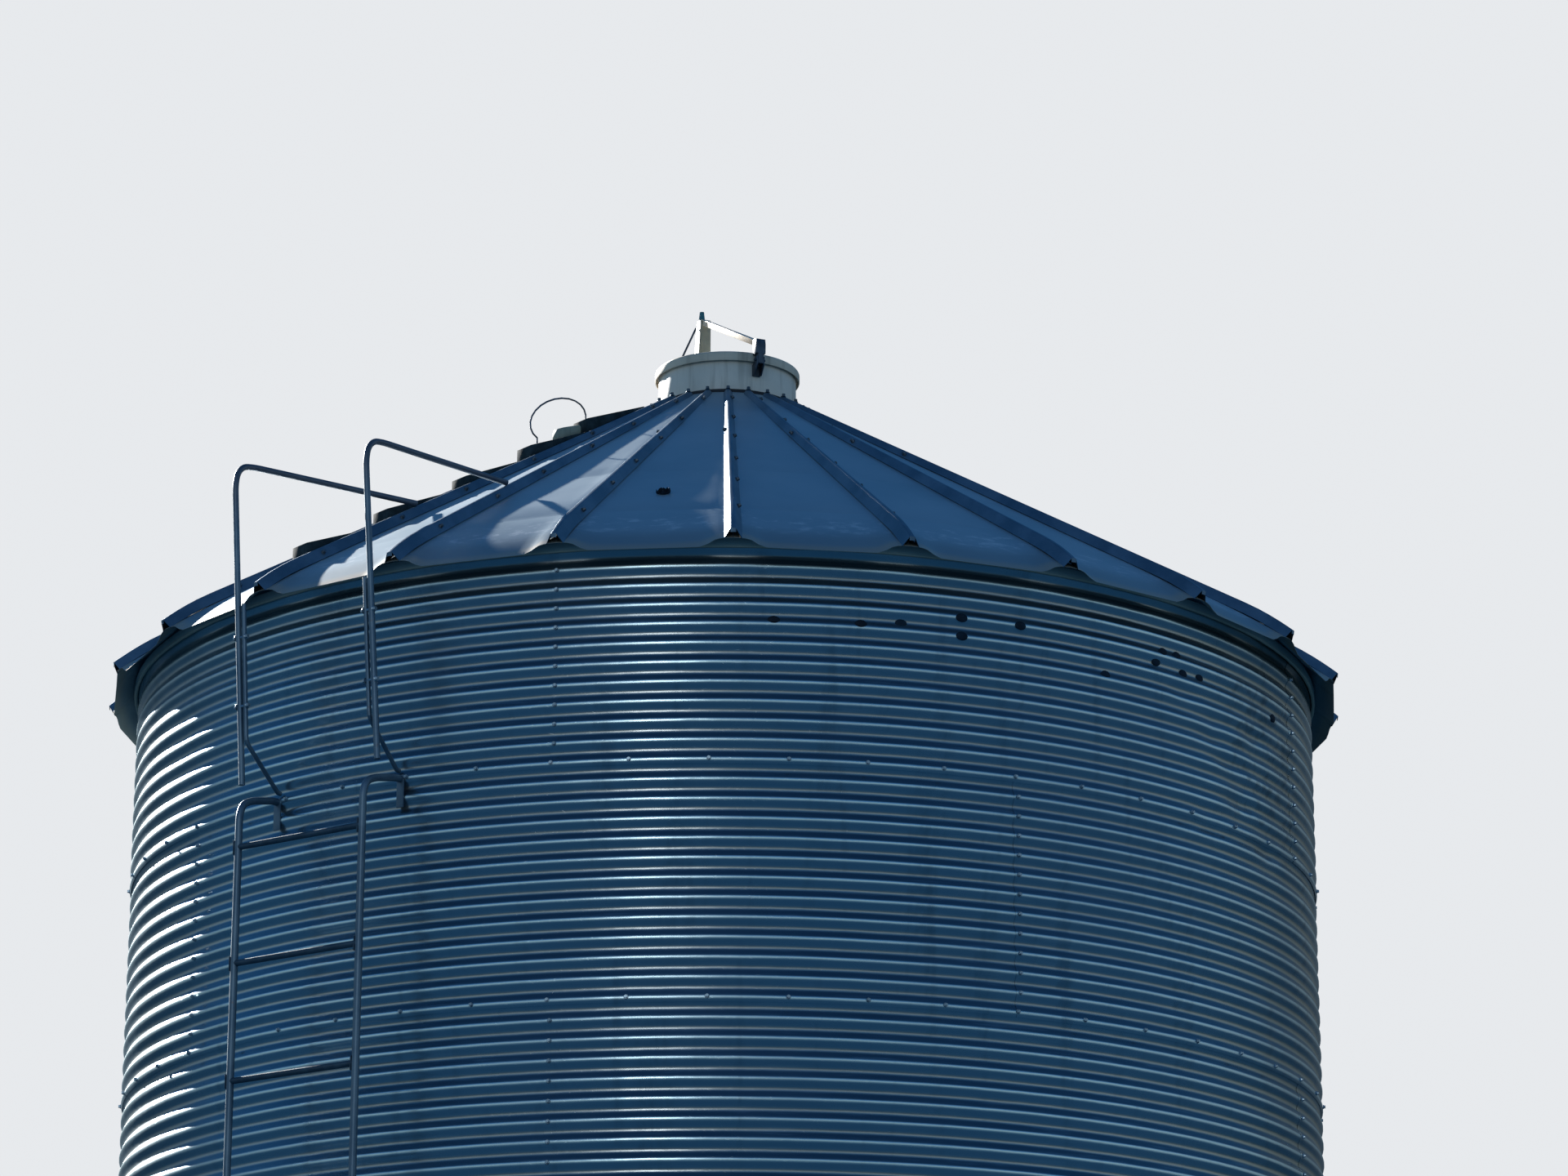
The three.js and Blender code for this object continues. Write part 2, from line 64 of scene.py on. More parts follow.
def pointing(place, direction):
    return Matrix.Translation(place) @ Vector(direction).to_track_quat("Z", "Y").to_matrix().to_4x4()


# Finishes

class Wire:  # a socket that can stand in a sum
    def __init__(self, nodes, socket):
        self.nodes, self.socket = nodes, socket

    def __add__(self, other):
        return self.nodes.maths("ADD", self, other)

    def __radd__(self, other):
        return self.nodes.maths("ADD", other, self)

    def __sub__(self, other):
        return self.nodes.maths("SUBTRACT", self, other)

    def __rsub__(self, other):
        return self.nodes.maths("SUBTRACT", other, self)

    def __mul__(self, other):
        return self.nodes.maths("MULTIPLY", self, other)

    def __rmul__(self, other):
        return self.nodes.maths("MULTIPLY", other, self)


class Nodes:  # a node tree that is filled by its node method
    def __init__(self, tree, coordinates):
        self.tree = tree
        self.place = self.node("ShaderNodeTexCoord", output=coordinates)

    def feed(self, socket, value):
        if isinstance(value, Wire):
            self.tree.links.new(value.socket, socket)
        else:
            socket.default_value = value

    def node(self, kind, settings=None, values=None, output=0):
        made = self.tree.nodes.new(kind)
        for name, value in (settings or {}).items():
            if name == "stops":
                stops = made.color_ramp.elements
                for step, (position, colour) in enumerate(value):
                    stop = stops[step] if step < 2 else stops.new(position)
                    stop.position, stop.color = position, (*colour, 1)
            else:
                setattr(made, name, value)
        for name, value in (values or {}).items():
            self.feed(made.inputs[name], value)
        return Wire(self, made.outputs[output])

    def maths(self, operation, *values):
        return self.node("ShaderNodeMath", {"operation": operation}, dict(enumerate(values)))

    def axes(self, wire=None):
        split = self.node("ShaderNodeSeparateXYZ", values={0: wire or self.place})
        return [Wire(self, split.socket.node.outputs[i]) for i in range(3)]

    def ramp(self, value, stops):
        return self.node("ShaderNodeValToRGB", {"stops": stops}, {0: value})

    def mix(self, share, first, second):
        first, second = (value if isinstance(value, Wire) else (*value, 1) for value in (first, second))
        return self.node("ShaderNodeMix", {"data_type": "RGBA", "clamp_factor": True},
                         {0: share, 6: first, 7: second}, output=2)


class Paint(Nodes):
    def __init__(self, name):
        self.material = bpy.data.materials.new(name)
        self.material.use_nodes = True
        super().__init__(self.material.node_tree, "Object")
        self.shader = self.tree.nodes["Principled BSDF"]

    def stretched(self, scale):
        return self.node("ShaderNodeMapping", values={"Vector": self.place, "Scale": scale})

    def noise(self, scale, detail=3.0, rough=0.55, where=None):
        return self.node("ShaderNodeTexNoise", values={
            "Vector": where or self.place, "Scale": scale, "Detail": detail, "Roughness": rough
        }, output="Fac")

    def ease(self, value, low, high, start=0.0, end=1.0):
        return self.node("ShaderNodeMapRange", {"interpolation_type": "SMOOTHSTEP"}, {
            "Value": value, "From Min": low, "From Max": high, "To Min": start, "To Max": end})

    def bump(self, height, distance, strength=1.0):
        self.feed(self.shader.inputs["Normal"], self.node("ShaderNodeBump", values={
            "Height": height, "Distance": distance, "Strength": strength}))

    def finish(self, **inputs):
        for name, value in inputs.items():
            self.feed(self.shader.inputs[name.replace("_", " ")], value)
        return self.material


wallPaint = {
    "metal": 0.78, "rough": 0.2,
    # upper and lower are painted reflections on the flanks that face up and down; valley is a painted dim
    # reflection line and ridge a painted highlight on the crests
    "upper": (0.08, 0.125, 0.16), "lower": (0.20, 0.31, 0.39), "valley": (0.31, 0.32, 0.31),
    "ridge": (0.49, 0.62, 0.65), "clouds": (0.16, 0.22, 0.27), "runs": (0.09, 0.13, 0.16),
    # left is painted light on the left side; right is painted shade in the valleys on the right side
    "streaks": (0.36, 0.44, 0.5), "left": (0.17, 0.33, 0.43), "right": (0.27, 0.27, 0.21),
    "eaveShade": (0.05, 0.065, 0.055), "dentDarkening": (0.08, 0.095, 0.10),
    "leftAt": (-1.2, -1.7), "rightAt": (1.2, 2.1), "eaveShadeAt": (eave - 0.22, eave - 0.05),
    "dentDarkeningAt": {"across": (1.72, 1.84), "along": (-0.7, -0.85), "from": (eave - 0.9, eave - 0.7),
                  "to": (eave - 0.22, eave - 0.3)},
}


def wallSteel():
    paint = Paint("corrugated_steel")
    x, y, z = paint.axes()
    turn = ((eave - z) * (1 / pitch) - crest) * math.tau
    swing = paint.maths("COSINE", turn)  # 1 on a crest, -1 in a valley
    flank = paint.maths("SINE", turn)  # above 0 where the sheet faces down
    streaks = paint.noise(9, 4, 0.6, paint.stretched((0.35, 0.35, 6)))
    runs = paint.noise(7, 4, 0.6, paint.stretched((1.6, 1.6, 0.12)))
    clouds = paint.noise(0.9)
    # Painted reflections and highlights: the flanks take two tones by which way they face, the valleys a dim
    # line and the crests a bright line
    base = paint.mix(paint.ease(flank, -0.5, 0.5), wallPaint["upper"], wallPaint["lower"])
    base = paint.mix(paint.ease(swing * -1, 0.66, 0.98), base, wallPaint["valley"])
    base = paint.mix(paint.ease(swing + streaks * 0.1, 0.80, 1.05), base, wallPaint["ridge"])
    base = paint.mix(paint.ease(clouds, 0.42, 0.68, 0, 0.3), base, wallPaint["clouds"])
    base = paint.mix(paint.ease(runs, 0.52, 0.78, 0, 0.45), base, wallPaint["runs"])
    base = paint.mix(paint.ease(streaks, 0.55, 0.75, 0, 0.25), base, wallPaint["streaks"])

    left = paint.ease(x, *wallPaint["leftAt"])
    right = paint.ease(x, *wallPaint["rightAt"])
    # painted light: lighter and bluer towards the left side
    base = paint.mix(left * 0.35, base, wallPaint["left"])
    # painted shade: olive brown in the valleys towards the right side
    base = paint.mix(right * paint.ease(swing * -1, 0.3, 0.9) * 0.6, base, wallPaint["right"])
    top = paint.ease(z, *wallPaint["eaveShadeAt"])
    base = paint.mix(top * (0.08 + right * 0.8), base, wallPaint["eaveShade"])  # painted shade under the eave, far darker on the right

    # darker patches among the dents
    dentDarkening = paint.ease(paint.noise(19, 3, 0.6), 0.46, 0.66)
    for wire, side in ((x, "across"), (y, "along"), (z, "from"), (z, "to")):
        dentDarkening = dentDarkening * paint.ease(wire, *wallPaint["dentDarkeningAt"][side])
    base = paint.mix(dentDarkening * 0.45, base, wallPaint["dentDarkening"])

    spangle = paint.node("ShaderNodeTexVoronoi", values={"Vector": paint.place, "Scale": 55}, output="Color")
    ripples = paint.noise(5, 2, 0.5, paint.stretched((1, 1, 1.6)))
    paint.bump(ripples * 0.004 + paint.noise(24) * 0.00012 + paint.axes(spangle)[0] * 0.00008, 1.0)
    rough = wallPaint["rough"] + 0.1 * paint.ease(clouds, 0.3, 0.7) + 0.05 * streaks
    return paint.finish(Base_Color=base, Metallic=wallPaint["metal"], Roughness=rough)


roofPaint = {
    "dark": (0.24, 0.33, 0.39), "light": (0.30, 0.39, 0.45), "specks": (0.34, 0.42, 0.48),
    # bend and edge are painted shade near the eave: darker at the bend, olive brown at the bell's edge
    "bend": (0.16, 0.19, 0.2), "edge": (0.36, 0.33, 0.28), "streaks": (0.5, 0.56, 0.6),
    "bendShadeAt": (2.16, 2.26), "edgeShadeAt": (2.275, 2.31), "streaksAt": ((2.02, 2.1), (2.24, 2.16)),
}


def roofSteel():
    paint = Paint("roof_steel")
    x, y = paint.axes()[:2]
    reach = paint.maths("SQRT", x * x + y * y)
    clouds = paint.noise(1.3, 4, 0.6)
    fine = paint.noise(16, 4, 0.65, paint.stretched((1, 1, 2.5)))
    base = paint.mix(paint.ease(clouds, 0.35, 0.65), roofPaint["dark"], roofPaint["light"])
    base = paint.mix(paint.ease(fine, 0.5, 0.8, 0, 0.3), base, roofPaint["specks"])
    # painted shade towards the eave
    base = paint.mix(paint.ease(reach, *roofPaint["bendShadeAt"], 0, 0.5), base, roofPaint["bend"])
    base = paint.mix(paint.ease(reach, *roofPaint["edgeShadeAt"], 0, 0.9), base, roofPaint["edge"])
    start, end = roofPaint["streaksAt"]
    streaks = paint.ease(reach, *start) * paint.ease(reach, *end)
    base = paint.mix(streaks * paint.ease(fine, 0.5, 0.68, 0, 0.8), base, roofPaint["streaks"])
    paint.bump(clouds * 0.7 + fine * 0.3, 0.003, 0.3)
    return paint.finish(Base_Color=base, Metallic=0.45, Roughness=0.34 + 0.2 * clouds)


def ribSteel():
    paint = Paint("rib_steel")
    grime = paint.noise(6, 4, 0.6)
    base = paint.mix(paint.ease(grime, 0.35, 0.7), (0.06, 0.12, 0.18), (0.11, 0.185, 0.26))
    paint.bump(grime, 0.002, 0.3)
    return paint.finish(Base_Color=base, Metallic=0.5, Roughness=0.4 + 0.15 * grime)


def beigePaint(name, light, dark, stain):
    paint = Paint(name)
    clouds = paint.noise(5, 4, 0.6)
    runs = paint.noise(14, 3, 0.6, paint.stretched((1.5, 1.5, 0.15)))
    base = paint.mix(paint.ease(clouds, 0.3, 0.7), light, dark)
    base = paint.mix(paint.ease(runs, 0.5, 0.75, 0, 0.6), base, stain)
    paint.bump(paint.noise(60), 0.001, 0.3)
    return paint.finish(Base_Color=base, Roughness=0.38 + 0.2 * clouds)


def darkSteel(name, light, dark, metal=0.5, rough=0.45, shine=0.5):
    paint = Paint(name)
    clouds = paint.noise(18, 4, 0.65)
    base = paint.mix(paint.ease(clouds, 0.35, 0.7), dark, light)
    paint.bump(paint.noise(90), 0.0008, 0.35)
    return paint.finish(Base_Color=base, Metallic=metal, Roughness=rough + 0.2 * clouds - 0.1,
                        Specular_IOR_Level=shine)


soffitPaint = {
    "under": (0.62, 0.48, 0.36), "front": (0.50, 0.50, 0.48), "frontAt": (eave - 0.078, eave - 0.06),
}


def soffitSteel():
    paint = Paint("soffit_steel")
    z = paint.axes()[2]
    level = z + 0.006 * paint.noise(6, 4, 0.6)
    # painted shade: warm brown at the lower edge and underside, grey above, the colours of the shaded band
    # under the bell
    base = paint.mix(paint.ease(level, *soffitPaint["frontAt"]), soffitPaint["under"], soffitPaint["front"])
    return paint.finish(Base_Color=base, Metallic=0.5, Roughness=0.5)


tubePaint = {
    "dark": (0.07, 0.12, 0.17), "light": (0.12, 0.18, 0.23), "browned": (0.085, 0.07, 0.085),
    "rust": (0.16, 0.10, 0.075), "brownedAt": (eave + 0.1, eave + 0.3),
}


def tubeSteel():
    paint = Paint("tube_steel")
    z = paint.axes()[2]
    clouds = paint.noise(7, 4, 0.6)
    rust = paint.noise(30, 4, 0.7)
    base = paint.mix(paint.ease(clouds, 0.35, 0.65), tubePaint["dark"], tubePaint["light"])
    base = paint.mix(paint.ease(z, *tubePaint["brownedAt"], 0, 0.55), base, tubePaint["browned"])
    base = paint.mix(paint.ease(rust, 0.62, 0.8, 0, 0.6), base, tubePaint["rust"])
    paint.bump(rust, 0.0006, 0.3)
    return paint.finish(Base_Color=base, Metallic=0.55, Roughness=0.36 + 0.2 * clouds)


sheetFinish = wallSteel()
roofFinish = roofSteel()
ribFinish = ribSteel()
lidFinish = beigePaint("lid_paint", (0.70, 0.60, 0.47), (0.56, 0.48, 0.38), (0.2, 0.16, 0.115))
collarFinish = beigePaint("collar_paint", (0.76, 0.67, 0.57), (0.67, 0.60, 0.515), (0.32, 0.27, 0.215))
postFinish = beigePaint("post_paint", (0.36, 0.37, 0.28), (0.2, 0.21, 0.17), (0.1, 0.11, 0.09))
darkFinish = darkSteel("dark_hinge_steel", (0.07, 0.10, 0.14), (0.025, 0.04, 0.06))
knobFinish = darkSteel("knob_paint", (0.03, 0.22, 0.26), (0.015, 0.11, 0.14), 0.1)
boltFinish = darkSteel("bolt_steel", (0.10, 0.13, 0.16), (0.035, 0.05, 0.065), 0.6)
zincFinish = darkSteel("zinc_bolt_steel", (0.36, 0.44, 0.5), (0.17, 0.24, 0.3), 0.7, 0.35)
# near black for the dark spots on the wall, and painted shade inside the rust hole
spotAndHoleShade = darkSteel("dark_spot_and_hole_shade", (0.008, 0.025, 0.045), (0.003, 0.010, 0.02), 0.0, 0.7, 0.15)
# painted shade: near black for the insides of the hollow ribs and the upstand at the collar
insideShade = darkSteel("inside_shade", (0.02, 0.024, 0.03), (0.008, 0.01, 0.014), 0.0, 0.8)
soffitFinish = soffitSteel()
# painted shade: the roof steps are near black all over
stepShade = darkSteel("step_shade", (0.035, 0.055, 0.065), (0.015, 0.026, 0.032), 0.0, 0.8, 0.1)
tubeFinish = tubeSteel()
rungFinish = darkSteel("rung_steel", (0.04, 0.08, 0.115), (0.02, 0.045, 0.07), 0.3, 0.55)
print("finishes made")


# Making and joining shapes

def blendIn(whole, part, place=None):
    if place:
        part.transform(place)
    mesh = bpy.data.meshes.new("part")
    part.to_mesh(mesh)
    part.free()
    whole.from_mesh(mesh)
    bpy.data.meshes.remove(mesh)


def moved(geom):
    # the vertices of what an extrusion made
    return [part for part in geom if isinstance(part, bmesh.types.BMVert)]


def closed(bm):
    bmesh.ops.recalc_face_normals(bm, faces=bm.faces)
    return bm


def faceOut(bm):
    # turns an open round shell's faces away from the axis
    bmesh.ops.recalc_face_normals(bm, faces=bm.faces)
    flat = Vector((1, 1, 0))
    total = sum(face.normal.dot(face.calc_center_median() * flat) * face.calc_area() for face in bm.faces)
    if total < 0:
        bmesh.ops.reverse_faces(bm, faces=bm.faces)


def faceUp(bm):
    bmesh.ops.recalc_face_normals(bm, faces=bm.faces)
    if sum(face.normal.z * face.calc_area() for face in bm.faces) < 0:
        bmesh.ops.reverse_faces(bm, faces=bm.faces)


def bevel(bm, edges, width, segments):
    bmesh.ops.bevel(bm, geom=edges, offset=width, segments=segments, affect="EDGES", profile=0.5,
                    material=-1, offset_type="OFFSET", clamp_overlap=True)


def soften(bm, width, limit=40):
    edges = [e for e in bm.edges if len(e.link_faces) == 2 and e.calc_face_angle(0) > math.radians(limit)]
    bevel(bm, edges, width, 2)


def settle(bm, name, finish, replaced=(), body="silo", crease=35, steel=0.0, inside=None, second=None):
    for face in bm.faces:
        face.smooth = True
    for edge in bm.edges:
        edge.smooth = edge.calc_face_angle(math.pi) < math.radians(crease)
    mesh = bpy.data.meshes.new(name)
    bm.to_mesh(mesh)
    bm.free()
    mesh.materials.append(finish)
    if second:
        mesh.materials.append(second)
    piece = bpy.data.objects.new(name, mesh)
    bpy.context.scene.collection.objects.link(piece)
    if steel:
        shell = piece.modifiers.new("steel", "SOLIDIFY")
        shell.thickness, shell.offset = steel, -1
    if inside:
        mesh.materials.append(inside)
        shell.material_offset = 1
    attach(piece, body)
    if replaced:
        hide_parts(*replaced)
    return piece


def turnedRing(profile, steps, bevelled=0.0, loop=True):
    # a ring turned about the axis from corners of (reach, level)
    bm = bmesh.new()
    corners = [bm.verts.new((reach, 0, level)) for reach, level in profile]
    for first, second in zip(corners, corners[1:] + (corners[:1] if loop else [])):
        bm.edges.new((first, second))
    bmesh.ops.spin(bm, geom=bm.verts[:] + bm.edges[:], cent=(0, 0, 0), axis=(0, 0, 1), angle=math.tau,
                   steps=steps, dvec=(0, 0, 0), use_merge=True)
    bmesh.ops.remove_doubles(bm, verts=bm.verts, dist=1e-6)
    bmesh.ops.recalc_face_normals(bm, faces=bm.faces)
    if bevelled:
        soften(bm, bevelled)
    return bm


def rounded(points, bend, steps=5):
    path = [points[0]]
    for before, corner, after in zip(points, points[1:], points[2:]):
        reach = min(bend, 0.48 * (corner - before).length, 0.48 * (after - corner).length)
        start = corner + (before - corner).normalized() * reach
        end = corner + (after - corner).normalized() * reach
        for i in range(steps + 1):
            share = i / steps
            path.append(start.lerp(corner, share).lerp(corner.lerp(end, share), share))
    return path + [points[-1]]


def bar(bm, points, radius, sides=12):
    # a round bar: a capped circle carried along the path
    heading = (points[1] - points[0]).normalized()
    made = bmesh.ops.create_circle(bm, cap_ends=True, segments=sides, radius=radius,
                                   matrix=pointing(points[0], heading))
    face = made["verts"][0].link_faces[0]
    for i in range(1, len(points)):
        geom = bmesh.ops.extrude_face_region(bm, geom=[face])["geom"]
        face = [part for part in geom if isinstance(part, bmesh.types.BMFace)][0]
        verts = face.verts[:]
        bmesh.ops.translate(bm, verts=verts, vec=points[i] - points[i - 1])
        after = (points[min(i + 1, len(points) - 1)] - points[i]).normalized()
        if after.length < 0.5:  # the path's last point
            after = heading
        along = (points[i] - points[i - 1]).normalized()
        target = (along + after).normalized()
        turn = heading.rotation_difference(target)
        bmesh.ops.rotate(bm, verts=verts, cent=points[i], matrix=turn.to_matrix())
        heading = target


def block(bm, size, place, bevelled=0.0):
    part = bmesh.new()
    bmesh.ops.create_cube(part, size=1.0, matrix=Matrix.Diagonal((*size, 1)))
    if bevelled:
        soften(part, bevelled)
    blendIn(bm, part, place)


def nodeCopy(name):
    # a node's own solid, merged and with its flat faces made whole
    bm = bmesh.new()
    bm.from_mesh(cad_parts[name].data)
    bmesh.ops.remove_doubles(bm, verts=bm.verts, dist=1e-5)
    bmesh.ops.dissolve_limit(bm, angle_limit=math.radians(1), verts=bm.verts, edges=bm.edges)
    return bm


boltShape = {"washerHeight": 0.003, "washerTaper": 0.85, "headTaper": 0.88}


def bolt(bm, place, washer, head, height):
    # place has +Z along the bolt
    low = boltShape["washerHeight"]
    bmesh.ops.create_cone(bm, cap_ends=True, segments=8, radius1=washer,
                          radius2=washer * boltShape["washerTaper"], depth=low,
                          matrix=place @ Matrix.Translation((0, 0, low / 2)))
    bmesh.ops.create_cone(bm, cap_ends=True, segments=6, radius1=head,
                          radius2=head * boltShape["headTaper"], depth=height,
                          matrix=place @ Matrix.Translation((0, 0, low + height / 2)))


# Wall: rolled sheets, lapped at the seams and ring by ring

wall = {
    "middle": 2.2205, "depth": 0.0127, "topGap": 0.0285, "lowEnd": 0.001,
    "stepsPerPitch": 10, "stepsPerSpace": (4, 4, 3, 2), "firstSeam": -15.95, "seamShift": 6,
    "runs": {"a": (12, 12, 4), "b": (12, 12)},  # each sheet's width in bolt spaces
    "lapDown": 0.018, "lapAlong": 0.85, "downOut": 0.0028, "alongOut": 0.0014, "steel": 0.0011,
}

# Dents: azimuth, metres under the eave, spread in degrees and metres, depth
dents = [
    (46, 0.40, 1.6, 0.05, 0.008), (50, 0.50, 1.4, 0.06, 0.012), (53, 0.60, 1.3, 0.05, 0.011),
    (55, 0.72, 1.7, 0.07, 0.013), (58, 0.47, 1.5, 0.06, 0.009), (60, 0.86, 1.5, 0.06, 0.010),
    (49, 0.83, 1.5, 0.05, 0.008), (-29, 0.62, 3.5, 0.10, 0.004), (14, 1.4, 4.0, 0.15, 0.004),
    (-62, 0.5, 4.0, 0.12, 0.005)]


def dented(azimuth, level):
    return sum(depth * math.exp(-((azimuth - middle) / wide) ** 2 - ((eave - level - drop) / high) ** 2)
               for middle, drop, wide, high, depth in dents)


def corrugated(level):
    turns = (eave - level) / pitch - crest
    return wall["middle"] + wall["depth"] / 2 * math.cos(math.tau * turns)


def wallSheet(high, low, start, spaces, steps):
    sheet = bmesh.new()
    ends = [sheet.verts.new((0, 0, level)) for level in (high, low)]
    sheet.edges.new(ends)
    rows = round((high - low) / pitch * wall["stepsPerPitch"])
    bmesh.ops.subdivide_edges(sheet, edges=sheet.edges[:], cuts=rows - 1)
    for vert in sheet.verts:
        out = wall["downOut"] * (high - vert.co.z) / ringHeight + wall["alongOut"]
        vert.co = spot(start, corrugated(vert.co.z) + out, vert.co.z)
    width = spaces * boltSpace + wall["lapAlong"]
    bmesh.ops.spin(sheet, geom=sheet.verts[:] + sheet.edges[:], cent=(0, 0, 0), axis=(0, 0, 1),
                   angle=math.radians(width), steps=spaces * steps, dvec=(0, 0, 0))
    for vert in sheet.verts:
        azimuth = math.degrees(math.atan2(vert.co.x, -vert.co.y))
        along = (azimuth - start + 10) % 360 - 10
        inward = wall["alongOut"] * along / width  # the far end slips under the next sheet
        inward += dented(azimuth, vert.co.z)
        vert.co.xy *= 1 - inward / wall["middle"]
    faceOut(sheet)
    return sheet


seams = []
for number in range(1, ringCount + 1):
    high = eave - (number - 1) * ringHeight - (wall["topGap"] if number == 1 else 0)
    low = eave - number * ringHeight - (wall["lapDown"] if number < ringCount else -wall["lowEnd"])
    start = wall["firstSeam"] + (number - 1) % 2 * wall["seamShift"] * boltSpace
    for run, sheets in wall["runs"].items():
        bm = bmesh.new()
        for spaces in sheets:
            seams.append((number, start))
            blendIn(bm, wallSheet(high, low, start, spaces, wall["stepsPerSpace"][min(number, 4) - 1]))
            start += spaces * boltSpace
        settle(bm, f"wall_sheets_{number}_{run}", sheetFinish, [f"wall_ring_{number}_{run}"],
               steel=wall["steel"])

wallBolt = {"out": 0.0035, "jointShift": 0.02, "seamShift": 0.4, "size": (0.0085, 0.006, 0.006)}
for number in range(1, ringCount + 1):
    bm = bmesh.new()
    heads = []
    if number < ringCount:
        heads += [(wall["firstSeam"] + (i + wallBolt["jointShift"]) * boltSpace, eave - number * ringHeight)
                  for i in range(ringBolts)]
    for ring, seam in seams:
        if ring == number:
            heads += [(seam + wallBolt["seamShift"], eave - ((number - 1) * 12 + i + crest) * pitch)
                      for i in range(1, 12)]
    for azimuth, level in heads:
        place = spot(azimuth, corrugated(level) + wallBolt["out"] - dented(azimuth, level), level)
        bolt(bm, pointing(place, spot(azimuth, 1, 0)), *wallBolt["size"])
    settle(closed(bm), f"wall_bolts_{number}", zincFinish)
print("wall made")

# Small dark raised spots on the top ring
patch = {
    "half": (0.022, 0.016, 0.0045), "out": 0.002,
    "places": ((3.6, 0.329), (11.3, 0.329), (15, 0.314), (20.6, 0.275), (20.6, 0.34), (26.4, 0.275),
               (35.7, 0.394), (42.2, 0.298), (43, 0.259), (44.9, 0.258), (46, 0.314), (48.5, 0.308),
               (62.1, 0.337)),  # azimuth, and metres under the eave
}
bm = bmesh.new()
for azimuth, drop in patch["places"]:
    place = spot(azimuth, corrugated(eave - drop) + patch["out"], eave - drop)
    bmesh.ops.create_uvsphere(bm, u_segments=12, v_segments=6, radius=1, matrix=pointing(
        place, spot(azimuth, 1, 0)) @ Matrix.Diagonal((*patch["half"], 1)))
settle(closed(bm), "dark_spots", spotAndHoleShade)

soffit = {"inner": 2.2303, "outer": 2.2437, "low": eave - 0.078, "high": eave - 0.042, "bevel": 0.004}
bm = turnedRing([(soffit["inner"], soffit["low"]), (soffit["outer"], soffit["low"]),
                 (soffit["outer"], soffit["high"]), (soffit["inner"], soffit["high"])],
                2 * ringBolts, soffit["bevel"])
settle(bm, "eave_strip", soffitFinish, ["eave_band"])

footing = {
    "inner": 2.2303, "middle": 2.2423, "outside": 2.248, "leg": 2.29, "steel": 0.006, "rise": 0.05,
    "bevel": 0.0015, "boltReach": 2.2683, "boltSize": (0.016, 0.012, 0.012),
}
ledge = footing["rise"] - footing["steel"]
bm = turnedRing([(footing["middle"], 0), (footing["leg"], 0), (footing["leg"], footing["steel"]),
                 (footing["outside"], footing["steel"]), (footing["outside"], footing["rise"]),
                 (footing["inner"], footing["rise"]), (footing["inner"], ledge), (footing["middle"], ledge)],
                2 * ringBolts, footing["bevel"])
for i in range(ringBolts // 2):
    place = spot(wall["firstSeam"] + (2 * i + 0.5) * boltSpace, footing["boltReach"], footing["steel"])
    bolt(bm, pointing(place, (0, 0, 1)), *footing["boltSize"])
settle(closed(bm), "foot_angle", ribFinish, ["base_angle"])
print("foot and eave strip made")

# Roof: flat panels bent down at the eave, with hollow ribs over their joints

roof = {
    "angle": math.radians(30.45), "peak": eave + 1.318, "step": 15, "perSector": 4,
    "stations": (0.285, 0.5, 0.8, 1.1, 1.3, 1.435, 1.45, 1.465, 1.65, 1.81, 1.83, 1.985, 2.0, 2.015, 2.08,
                 2.14, 2.19, 2.22, 2.25, 2.275, 2.3, 2.32, 2.334),
    "columns": 24, "crowding": 0.11, "steel": 0.0012,
    # Reach, depth and half width of each crease
    "creases": ((1.45, 0.0025, 0.012), (1.82, 0.001, 0.01), (2.0, 0.003, 0.012)), "creaseAside": (0.03, 0.06),
    # The panel sinks, rises again to its middle crease, and sinks at the eave
    "sinks": ((0.9, 1.45, 1), (1.45, 1.95, -1), (1.95, 2.1, 1)), "sink": 0.006, "sinkAside": (0.03, 0.1),
    "bellStart": 1.98, "bellEnd": 2.334, "bellDrop": 0.042, "bellCurve": 3.2, "hug": 0.66,
    "hugAside": (0.035, 0.12), "border": 0.0035, "borderAside": (0.042, 0.058), "borderFrom": (0.5, 0.9),
}
rib = {
    "start": 0.296, "tip": 2.351, "narrow": 0.55, "low": 0.4, "foot": 0.031, "crown": 0.009,
    "height": 0.045, "sink": 0.0034, "lip": 0.014, "lipIn": 0.002, "cut": 0.02, "steel": 0.0018,
    "bevel": 0.0035, "bendStart": 2.17, "bend": 0.024, "bendCuts": (2.22, 2.26, 2.295, 2.325),
    "bolts": (0.42, 0.74, 1.04, 1.38, 1.69, 2.06), "farBolt": 0.944, "boltRise": 0.48, "boltTilt": 0.45,
    "boltSize": (0.009, 0.007, 0.008), "topBolt": 0.304, "topBoltRise": 0.016,
    "topBoltSize": (0.01, 0.008, 0.01),
}
halfPanel = math.radians(roof["step"] / 2)


def smooth(value, low, high):
    share = min(max((value - low) / (high - low), 0), 1)
    return share * share * (3 - 2 * share)


def borderLevel(reach):  # of the panels, along a rib
    return roof["peak"] - math.tan(roof["angle"]) * reach


def middleLevel(reach):  # of a panel, half way between its ribs
    return borderLevel(reach / math.cos(halfPanel))


def ribGrowth(reach, atStart):
    share = (reach - rib["start"]) / (rib["tip"] - rib["start"])
    return atStart + (1 - atStart) * share


